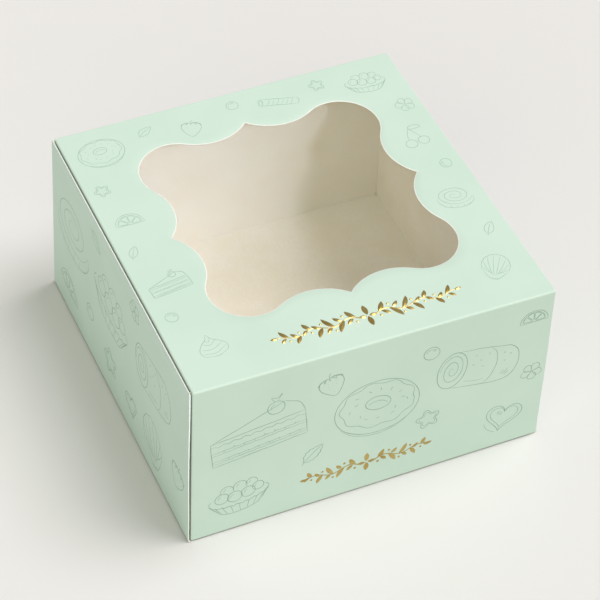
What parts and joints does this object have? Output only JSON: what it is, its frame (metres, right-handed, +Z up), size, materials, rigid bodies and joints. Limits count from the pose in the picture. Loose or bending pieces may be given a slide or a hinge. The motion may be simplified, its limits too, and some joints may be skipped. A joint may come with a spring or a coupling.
{
  "type": "pastry box",
  "caption": "Low square carton for pastries with a hinged lid, a lobed window closed by clear film, and a front flap whose ears tuck in beside the side walls.",
  "frame": {"origin": "middle of the footprint, on the surface the box stands on", "axes": "+Z up, -Y the front with the flap, +X to the right seen from the front"},
  "size_m": [0.16, 0.163, 0.086],
  "materials": {
    "printed_board": "mint printed and coated folding board, satin, off-white inside",
    "window_film": "clear glossy PET film",
    "line_print": "fine grey-green line print",
    "gold_foil": "hot-stamped gold foil, raised"
  },
  "bodies": {
    "base": {"tray": "printed_board"},
    "hinged_lid": {"lid": "printed_board", "window_film": "window_film"},
    "flap": {"front_flap": "printed_board"}
  },
  "joints": [
    {"name": "lid_hinge", "type": "hinge", "parent": "base", "child": "hinged_lid", "pos_m": [0, 0.0815, 0.08535], "axis": [-1, 0, 0], "range_deg": [0, 110]},
    {"name": "flap_crease", "type": "hinge", "parent": "hinged_lid", "child": "flap", "pos_m": [0, -0.0815, 0.08535], "axis": [-1, 0, 0], "range_deg": [0, 90]}
  ]
}
